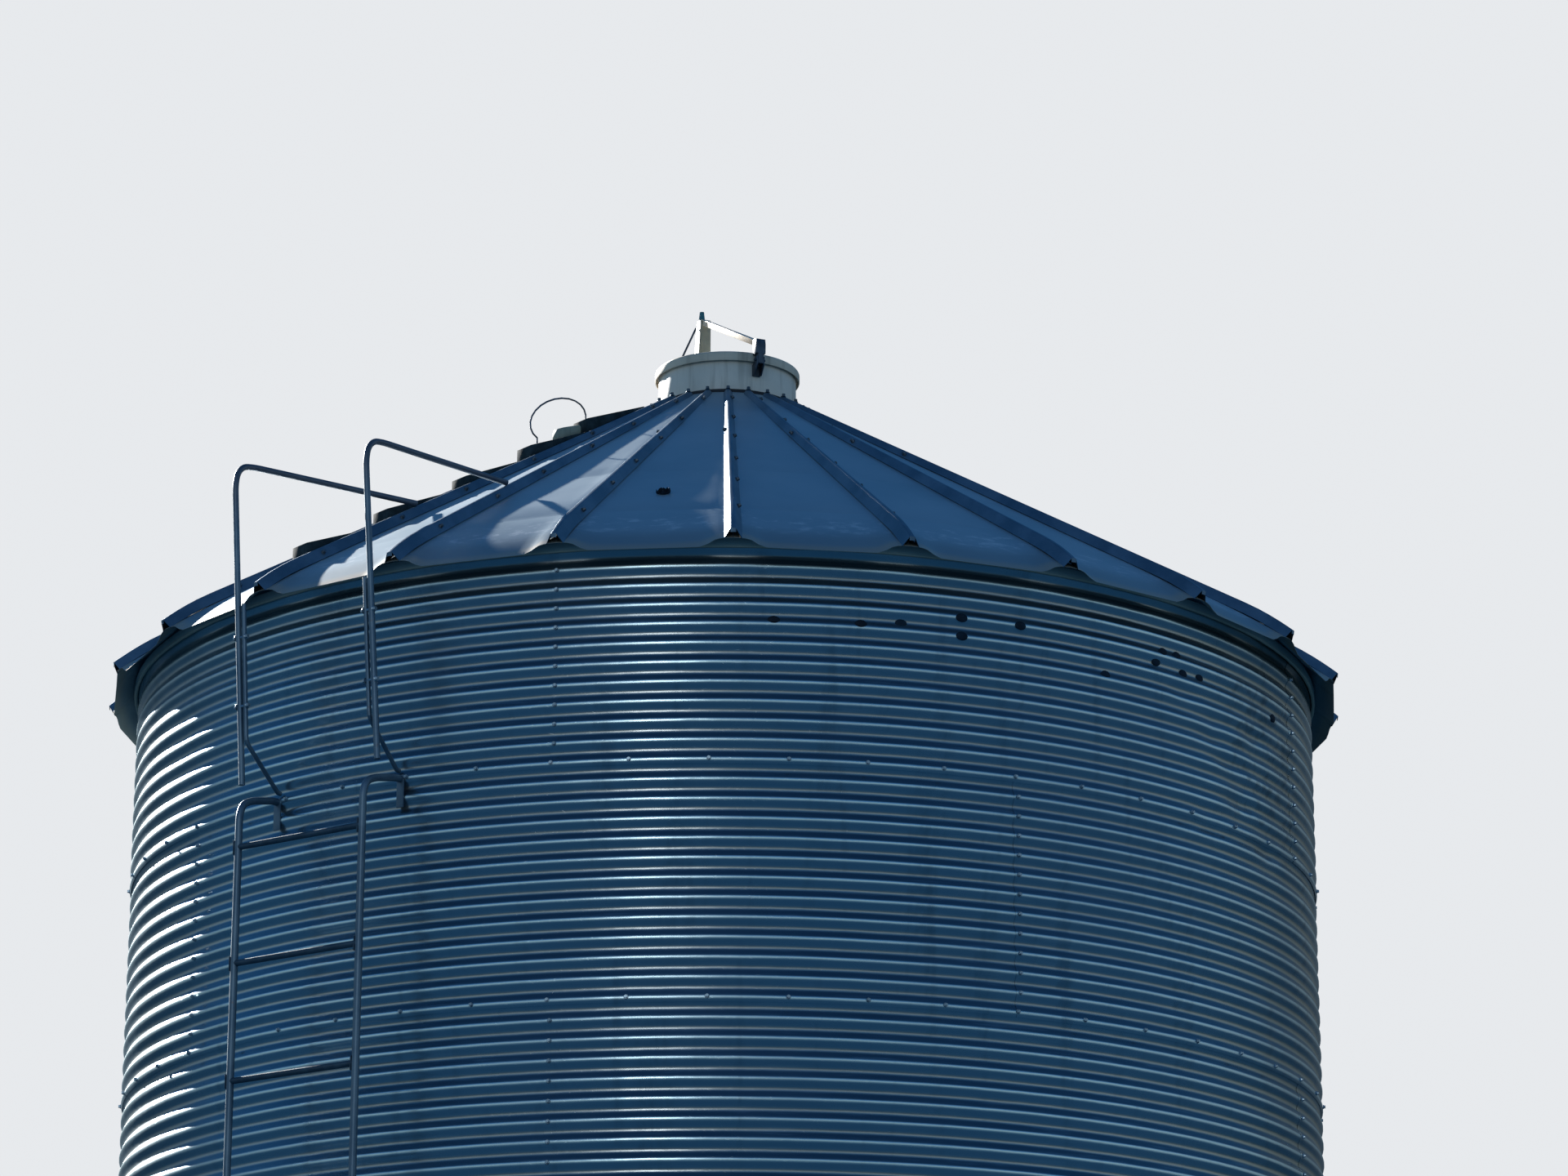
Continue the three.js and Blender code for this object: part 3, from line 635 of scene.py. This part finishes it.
def roofPanel(first):
    panel = bmesh.new()
    line = [panel.verts.new(spot(first, reach, 0)) for reach in roof["stations"]]
    for inner, outer in zip(line, line[1:]):
        panel.edges.new((inner, outer))
    bmesh.ops.spin(panel, geom=panel.verts[:] + panel.edges[:], cent=(0, 0, 0), axis=(0, 0, 1),
                   angle=2 * halfPanel, steps=roof["columns"], dvec=(0, 0, 0))
    for vert in panel.verts:
        reach = vert.co.xy.length
        turned = (math.degrees(math.atan2(vert.co.x, -vert.co.y)) - first + 180) % 360 - 180
        share = turned / roof["step"]
        share -= roof["crowding"] * math.sin(math.tau * share)  # closer columns by the ribs
        share = min(max(share, 0.001), 0.999)
        turn = (share - 0.5) * 2 * halfPanel
        aside = reach * math.sin(min(share, 1 - share) * 2 * halfPanel)
        level = 0
        for crease, depth, half in roof["creases"]:
            level -= depth * (1 - smooth(abs(reach - crease), 0, half)) * smooth(aside, *roof["creaseAside"])
        sunk = sum(way * smooth(reach, start, end) for start, end, way in roof["sinks"])
        level -= roof["sink"] * sunk * smooth(aside, *roof["sinkAside"])
        near = 1 - smooth(aside, *roof["hugAside"])  # the bend at the eave rises to the ribs' feet
        bell = min(max(reach - roof["bellStart"], 0) / (roof["bellEnd"] - roof["bellStart"]), 1)
        drop = roof["bellDrop"] * bell ** roof["bellCurve"] * (1 - roof["hug"] * near)
        level += borderLevel(reach) - drop
        border = (1 - smooth(aside, *roof["borderAside"])) * smooth(reach, *roof["borderFrom"])
        level -= roof["border"] * border
        straight = reach * math.cos(halfPanel) / math.cos(turn)  # the panel's rows are straight, not round
        vert.co = spot(first + roof["step"] / 2 + math.degrees(turn), straight, level)
    faceUp(panel)
    return panel


def roofRib(azimuth):
    beam = bmesh.new()
    outline = [(-rib["foot"], -rib["sink"]), (-rib["crown"], rib["height"]), (rib["crown"], rib["height"]),
               (rib["foot"], -rib["sink"])]
    corners = [beam.verts.new((rib["start"], across * rib["narrow"], rise * rib["low"]))
               for across, rise in outline]
    for one, other in zip(corners, corners[1:]):
        beam.edges.new((one, other))
    far = moved(bmesh.ops.extrude_edge_only(beam, edges=beam.edges[:])["geom"])
    bmesh.ops.scale(beam, verts=far, vec=(1, 1 / rib["narrow"], 1 / rib["low"]))
    bmesh.ops.translate(beam, verts=far, vec=(rib["tip"] - rib["start"], 0, 0))
    feet = [vert for vert in far if vert.co.z < 0]
    bmesh.ops.translate(beam, verts=feet, vec=(-rib["cut"], 0, 0))  # the sides are cut back at their feet
    for cut in (rib["bendStart"], *rib["bendCuts"]):
        bmesh.ops.bisect_plane(beam, geom=beam.verts[:] + beam.edges[:] + beam.faces[:],
                               plane_co=(cut, 0, 0), plane_no=(1, 0, 0))
    for vert in beam.verts:  # the end bends down with the panels
        bent = max(vert.co.x - rib["bendStart"], 0) / (rib["tip"] - rib["bendStart"])
        vert.co.z += borderLevel(vert.co.x) - rib["bend"] * bent * bent
    crown = [e for e in beam.edges if len(e.link_faces) == 2
             and abs((e.verts[0].co - e.verts[1].co).normalized().x) > 0.5]
    bevel(beam, crown, rib["bevel"], 3)
    # the crown's end is bent down into a lip over the open end
    end = [e for e in beam.edges if all(v.co.x > rib["tip"] - 0.001 for v in e.verts)
           and all(abs(v.co.y) < rib["crown"] + 0.002 for v in e.verts)]
    lip = moved(bmesh.ops.extrude_edge_only(beam, edges=end)["geom"])
    bmesh.ops.translate(beam, verts=lip, vec=(-rib["lipIn"], 0, -rib["lip"]))
    faceUp(beam)
    beam.transform(facing(azimuth))
    return beam


def ribBolt(bm, azimuth, reach, side):
    # half way up the rib's side
    across = side * (rib["foot"] + rib["crown"]) / 2 * ribGrowth(reach, rib["narrow"])
    rise = rib["boltRise"] * rib["height"] * ribGrowth(reach, rib["low"])
    place = spot(azimuth, reach, borderLevel(reach) + rise, across)
    bolt(bm, pointing(place, spot(azimuth, 0, rib["boltTilt"], side)), *rib["boltSize"])


for sector in range(6):
    panels, ribs, bolts = bmesh.new(), bmesh.new(), bmesh.new()
    for i in range(roof["perSector"]):
        azimuth = (sector * roof["perSector"] + i) * roof["step"]
        blendIn(panels, roofPanel(azimuth))
        blendIn(ribs, roofRib(azimuth))
        for reach in rib["bolts"]:
            ribBolt(bolts, azimuth, reach, 1)
        ribBolt(bolts, azimuth, rib["farBolt"], -1)
        place = spot(azimuth, rib["topBolt"], borderLevel(rib["topBolt"]) + rib["topBoltRise"])
        bolt(bolts, pointing(place, (0, 0, 1)), *rib["topBoltSize"])
    settle(panels, f"roof_panels_{sector + 1}", roofFinish, [f"roof_sector_{sector + 1}"],
           steel=roof["steel"])
    # the ribs' inner shell takes the painted shade
    settle(ribs, f"roof_ribs_{sector + 1}", ribFinish, steel=rib["steel"], inside=insideShade)
    settle(closed(bolts), f"roof_bolts_{sector + 1}", boltFinish)

# The ring under the panels' upper ends has an upstand against the collar, painted near black as painted shade
# of the gap there
flange = {
    "wide": 0.3, "narrow": 0.283, "inner": 0.2684, "upstand": 0.272, "low": eave + 1.085, "rise": 0.022,
    "under": 0.0043, "bevel": 0.0008,
}
outerLevel, innerLevel = (middleLevel(flange[end]) - flange["under"] for end in ("wide", "narrow"))
bm = turnedRing([(flange["inner"], flange["low"]), (flange["wide"], flange["low"]),
                 (flange["wide"], outerLevel), (flange["narrow"], innerLevel),
                 (flange["upstand"], innerLevel), (flange["upstand"], innerLevel + flange["rise"]),
                 (flange["inner"], innerLevel + flange["rise"])], 96, flange["bevel"])
settle(bm, "peak_flange", insideShade, ["peak_ring"])

# A rust hole in the front panel: a lobed near-black disc whose torn edge stands up; the near black is painted
# shade of the hole's inside
hole = {
    "azimuth": -7.7, "reach": 1.774, "out": 0.0006, "sides": 18, "torn": (0.8, 1.12), "rim": (0.003, 0.018),
    "flare": 1.08, "steel": 0.0006,
    "lobes": ((0, 0, 0.023, 0.018), (0.004, 0.021, 0.013, 0.014)),  # aside, up, wide, high
}
slopeOut = spot(-roof["step"] / 2, math.sin(roof["angle"]), math.cos(roof["angle"]))
upSlope = spot(-roof["step"] / 2, -math.cos(roof["angle"]), math.sin(roof["angle"]))
middle = spot(hole["azimuth"], hole["reach"], middleLevel(hole["reach"]) + hole["out"])
shape = random.Random(5)
bm = bmesh.new()
for aside, up, wide, high in hole["lobes"]:
    disc = bmesh.new()
    bmesh.ops.create_circle(disc, cap_ends=True, segments=hole["sides"], radius=1)
    for vert in disc.verts:
        vert.co *= shape.uniform(*hole["torn"])
    bmesh.ops.scale(disc, verts=disc.verts, vec=(wide, high, 1))
    for vert in moved(bmesh.ops.extrude_edge_only(disc, edges=disc.edges[:])["geom"]):
        vert.co = (vert.co.x * hole["flare"], vert.co.y * hole["flare"], shape.uniform(*hole["rim"]))
    bmesh.ops.translate(disc, verts=disc.verts, vec=(aside, 0, 0))
    blendIn(bm, disc, pointing(middle + upSlope * up, slopeOut))
settle(bm, "rust_hole", spotAndHoleShade, steel=hole["steel"])
print("roof made")

# Filling collar and its lid

collar = {"inner": 0.265, "outer": 0.268, "low": eave + 1.085, "lip": eave + 1.3, "bevel": 0.0008}
bm = turnedRing([(collar["inner"], collar["low"]), (collar["outer"], collar["low"]),
                 (collar["outer"], collar["lip"]), (collar["inner"], collar["lip"])], 128, collar["bevel"])
settle(bm, "collar_shell", collarFinish, ["fill_collar"])

lid = {
    "outer": 0.282, "inner": 0.2765, "low": eave + 1.282, "high": eave + 1.32, "rise": 0.018, "flat": 0.001,
    "round": 0.011, "hem": 0.004, "hemOut": 0.0012, "gap": 0.0006,
}
ceiling = collar["lip"] + lid["gap"]
slope = [(lid["outer"] * i / 6, lid["high"] + lid["rise"] * (1 - i / 6)) for i in range(1, 6)]
edge = []
for i in range(7):
    turn = i / 6 * math.pi / 2
    edge.append((lid["outer"] - lid["round"] * (1 - math.sin(turn)),
                 lid["high"] - lid["round"] * (1 - math.cos(turn))))
hem = [(lid["outer"], lid["low"] + lid["hem"]), (lid["outer"] - lid["hemOut"], lid["low"]),
       (lid["outer"] - lid["hem"], lid["low"]), (lid["inner"], lid["low"] + lid["hem"])]
bm = turnedRing([(0, lid["high"] + lid["rise"] - lid["flat"]), *slope, *edge, *hem,
                 (lid["inner"], ceiling), (0, ceiling)], 128, loop=False)
settle(bm, "lid_cap", lidFinish, ["fill_lid"], "lid", 40)

for name, finish, slot, width in [
        ("lid_post", postFinish, "beige", 0.0025), ("lid_gusset", postFinish, "beige", 0.001),
        ("lid_arm", lidFinish, "beige", 0.001), ("lid_strut", darkFinish, "dark", 0.0),
        ("lid_clevis", darkFinish, "dark", 0.0015), ("hinge_bracket", darkFinish, "dark", 0.001),
        ("step_block", postFinish, "beige", 0.003)]:
    bm = nodeCopy(name)
    if width:
        soften(bm, width, limit=50)
    body = "lid" if name.startswith("lid") else "silo"
    settle(bm, name + "_steel", finish, [name], body, 30)
print("lid made")

# Wedge steps on the roof panel left of the ladder

stepCount = sum(name.startswith("roof_step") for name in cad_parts)
for number in range(1, stepCount + 1):
    bm = nodeCopy(f"roof_step_{number}")
    soften(bm, 0.002, limit=25)
    # the steps take the painted shade
    settle(bm, f"step_wedge_{number}", stepShade, [f"roof_step_{number}"], "silo", 30)
print("steps made")

# Ladder

ladder = {
    "azimuth": -37.4, "reach": 2.405, "wallReach": 2.2225, "wallGap": 0.004, "half": 0.279, "rail": 0.013,
    "rung": 0.011, "rungHalf": 0.272, "spacing": 6 * pitch, "topRung": eave - ringHeight - 3 * pitch,
    "head": eave - 0.818, "foot": 0.4, "gap": 0.0005, "bend": 0.06,
    "hookStart": 0.03,
    "hook": ((2.345, 0.022), (2.389, 0.042), (2.405, 0.084)),  # reach, and how far under the head
    "hookPlate": (0.006, 0.03, 0.114), "plateDrop": 0.043, "stayEnd": 2.401, "stay": (0.006, 0.04),
    "lug": (0.012, 0.005, 0.05), "lugReach": 2.409, "lugAside": 0.0145, "bevel": 0.001,
    "parts": {"upper": (range(7), 4), "lower": (range(7, 13), 7)},  # rungs, and the joint its stays are at
}


def onLadder(reach, offset, level):
    return spot(ladder["azimuth"], reach, level, offset)


def ladderBlock(bm, size, reach, offset, level):
    block(bm, size, facing(ladder["azimuth"], onLadder(reach, offset, level)), ladder["bevel"])


def wallFace(offset):  # where a fitting starts on the round wall
    radius = ladder["wallReach"]
    return radius * math.cos(math.asin(offset / radius)) + ladder["wallGap"]


def paintFrom(bm, first):
    # faces made since then take the piece's second finish
    bm.faces.ensure_lookup_table()
    for face in bm.faces[first:]:
        face.material_index = 1


split = ladder["topRung"] - 6.5 * ladder["spacing"]
wallEnd = wallFace(ladder["half"])
for part, (rungs, joint) in ladder["parts"].items():
    bm = bmesh.new()
    for offset in (-ladder["half"], ladder["half"]):
        if part == "upper":
            path = [onLadder(wallEnd + out, offset, ladder["head"]) for out in (0, ladder["hookStart"])]
            path += [onLadder(reach, offset, ladder["head"] - drop) for reach, drop in ladder["hook"]]
            path.append(onLadder(ladder["reach"], offset, split + ladder["gap"]))
            bar(bm, rounded(path, ladder["bend"]), ladder["rail"], 16)
            ladderBlock(bm, ladder["hookPlate"], wallEnd + ladder["wallGap"], offset,
                        ladder["head"] - ladder["plateDrop"])
        else:
            path = [onLadder(ladder["reach"], offset, level) for level in (split, ladder["foot"])]
            bar(bm, path, ladder["rail"], 16)
        ladderBlock(bm, (ladder["stayEnd"] - wallEnd, *ladder["stay"]), (wallEnd + ladder["stayEnd"]) / 2,
                    offset, eave - joint * ringHeight)
    rails = len(bm.faces)
    for number in rungs:
        level = ladder["topRung"] - number * ladder["spacing"]
        ends = (-ladder["rungHalf"], ladder["rungHalf"])
        bar(bm, [onLadder(ladder["reach"], end, level) for end in ends], ladder["rung"], 14)
        for offset in (-ladder["half"], ladder["half"]):
            ladderBlock(bm, ladder["lug"], ladder["lugReach"], offset - ladder["lugAside"], level)
    paintFrom(bm, rails)
    settle(closed(bm), f"ladder_rails_{part}", tubeFinish, [f"ladder_{part}"], "silo", 40,
           second=rungFinish)

# Grab rails that run over the eave on to the roof, with a brace bar beside each

grab = {
    "left": (-1, -0.265, -0.34, eave + 0.38), "right": (1, 0.345, 0.262, eave + 0.358),
    "foot": eave - 0.8, "reach": 2.425, "end": 1.612, "radius": 0.011, "bend": 0.03, "sink": 0.0002,
    "brace": 0.008, "braceGap": 0.026, "braceTop": eave - 0.15, "braceLow": eave - 0.65, "braceBend": 0.02,
    "braceFoot": eave - 0.788, "footHalf": 0.27, "footOut": 0.014,
    "ties": (eave - 0.27, eave - 0.52), "tie": 0.005, "tieReach": 2.42, "tieOut": 0.018, "tieIn": 0.016,
    "boltIn": 0.008, "boltSize": (0.0115, 0.009, 0.007),
}


def grabRail(hand):
    side, footOffset, headOffset, head = grab[hand]

    def leaning(level):
        return footOffset + (headOffset - footOffset) * (level - grab["foot"]) / (head - grab["foot"])

    def inward(level):
        return leaning(level) - side * grab["braceGap"]

    bm = bmesh.new()
    reach = grab["reach"]
    landing = (borderLevel(grab["end"]) + grab["radius"] - grab["sink"]
               + rib["height"] * ribGrowth(grab["end"], rib["low"]))  # on a rib's crown
    path = [onLadder(*point) for point in (
        (reach - 0.012, footOffset, grab["foot"]), (reach, leaning(head - 0.09), head - 0.09),
        (reach - 0.012, leaning(head - 0.038), head - 0.038), (reach - 0.045, headOffset, head - 0.006),
        (reach - 0.1, headOffset - side * 0.004, head + 0.004),
        (grab["end"] * math.cos(halfPanel), side * grab["end"] * math.sin(halfPanel), landing))]
    bar(bm, rounded(path, grab["bend"], 4), grab["radius"], 16)

    top, low, foot = grab["braceTop"], grab["braceLow"], grab["braceFoot"]
    wallEnd = wallFace(grab["footHalf"])
    path = [onLadder(*point) for point in (
        (reach - 0.006, inward(top), top), (reach - 0.008, inward(low), low),
        (wallEnd + grab["footOut"], side * grab["footHalf"], foot),
        (wallEnd, side * grab["footHalf"], foot))]
    bar(bm, rounded(path, grab["braceBend"], 3), grab["brace"], 12)
    rails = len(bm.faces)
    for level in grab["ties"]:
        ends = [leaning(level) + side * grab["tieOut"], inward(level) - side * grab["tieIn"]]
        bar(bm, [onLadder(grab["tieReach"], offset, level) for offset in ends], grab["tie"], 8)
        for end, way in zip(ends, (side, -side)):
            place = onLadder(grab["tieReach"], end - way * grab["boltIn"], level)
            bolt(bm, pointing(place, onLadder(0, way, 0)), *grab["boltSize"])
    paintFrom(bm, rails)
    settle(closed(bm), f"grab_tube_{hand}", tubeFinish, [f"grab_rail_{hand}"], "silo", 40,
           second=zincFinish)


grabRail("left")
grabRail("right")
print("ladder made")

for name, finish in (("lid_knob", knobFinish), ("hinge_pin", darkFinish), ("step_hoop", darkFinish)):
    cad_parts[name].data.materials.clear()
    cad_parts[name].data.materials.append(finish)

# Floor, light and camera

studio = {
    "floor": (0.27, 0.27, 0.265), "floorRadius": 90, "backdrop": (0.80, 0.82, 0.845),
    "sky": ((0.0, (0.02, 0.095, 0.20)), (0.46, (0.045, 0.125, 0.215)), (0.53, (0.33, 0.42, 0.48)),
            (0.66, (0.41, 0.56, 0.67)), (0.74, (0.04, 0.20, 0.47)), (1.0, (0.01, 0.065, 0.20))),
    "behind": ((0.0, 1.0), (0.55, 1.05), (0.72, 0.75), (0.84, 0.42), (0.95, 0.3)), "lowSky": 0.4,
    "sunFrom": (-0.477, 0.749, 0.459), "sunStrength": 15.0, "sunAngle": 1.2, "sunColour": (1.0, 0.97, 0.92),
    "stripAzimuth": -13.0, "stripAway": 17.0, "stripHigh": 9.5, "stripTowards": (0, 0, 6),
    "stripSize": (0.9, 6.0), "stripPower": 320, "stripColour": (0.9, 0.96, 1.0),
}
bm = bmesh.new()
bmesh.ops.create_circle(bm, cap_ends=True, segments=64, radius=studio["floorRadius"])
floorMesh = bpy.data.meshes.new("studio_floor")
bm.to_mesh(floorMesh)
bm.free()
floorMesh.materials.append(Paint("studio_floor").finish(
    Base_Color=(*studio["floor"], 1), Roughness=0.9, Specular_IOR_Level=0.0))
floor = bpy.data.objects.new("studio_floor", floorMesh)
bpy.context.scene.collection.objects.link(floor)
floor.visible_diffuse = floor.visible_glossy = False  # seen by the camera, but casts no light up

world = bpy.data.worlds.new("studio")
bpy.context.scene.world = world
world.use_nodes = True
sky = Nodes(world.node_tree, "Generated")
y, z = sky.axes()[1:]
overhead = sky.ramp((z + 1) * 0.5, studio["sky"])
across = y - 2 * (sky.maths("MAXIMUM", z, studio["lowSky"]) - studio["lowSky"])
dimming = sky.ramp((across + 1) * 0.5, [(place, (grey, grey, grey)) for place, grey in studio["behind"]])
glow = sky.node("ShaderNodeVectorMath", {"operation": "MULTIPLY"}, {0: overhead, 1: dimming})
seen = sky.node("ShaderNodeLightPath", output="Is Camera Ray")
sky.feed(world.node_tree.nodes["Background"].inputs["Color"], sky.mix(seen, glow, studio["backdrop"]))


def light(name, kind, place, towards, energy, **settings):
    data = bpy.data.lights.new(name, kind)
    data.energy = energy
    for key, value in settings.items():
        setattr(data, key, value)
    lamp = bpy.data.objects.new(name, data)
    lamp.location = place
    lamp.rotation_euler = (Vector(towards) - Vector(place)).to_track_quat("-Z", "Y").to_euler()
    lamp.visible_camera = False
    bpy.context.scene.collection.objects.link(lamp)
    return lamp


light("sun", "SUN", Vector(studio["sunFrom"]) * 20, (0, 0, 0), studio["sunStrength"],
      angle=math.radians(studio["sunAngle"]), color=studio["sunColour"])
strip = light("strip", "AREA", spot(studio["stripAzimuth"], studio["stripAway"], studio["stripHigh"]),
              studio["stripTowards"], studio["stripPower"], shape="RECTANGLE", size=studio["stripSize"][0],
              size_y=studio["stripSize"][1], color=studio["stripColour"])
strip.visible_diffuse = False  # a shine, but no light

view = {
    "azimuth": -0.57, "away": 18.2595, "height": 1.476, "pan": 1.271, "tilt": 16.696, "roll": 0.154,
    "lens": 113.52, "sensor": 36, "clip": (0.1, 300),
}
cameraData = bpy.data.cameras.new("photo_view")
cameraData.lens, cameraData.sensor_width = view["lens"], view["sensor"]
cameraData.clip_start, cameraData.clip_end = view["clip"]
camera = bpy.data.objects.new("photo_view", cameraData)
camera.matrix_world = (Matrix.Translation(spot(view["azimuth"], view["away"], view["height"]))
                       @ Matrix.Rotation(-math.radians(view["pan"]), 4, "Z")
                       @ Matrix.Rotation(math.radians(90 + view["tilt"]), 4, "X")
                       @ Matrix.Rotation(math.radians(view["roll"]), 4, "Z"))
bpy.context.scene.collection.objects.link(camera)
bpy.context.scene.camera = camera
bpy.context.scene.view_settings.view_transform = "Standard"
print("studio made")
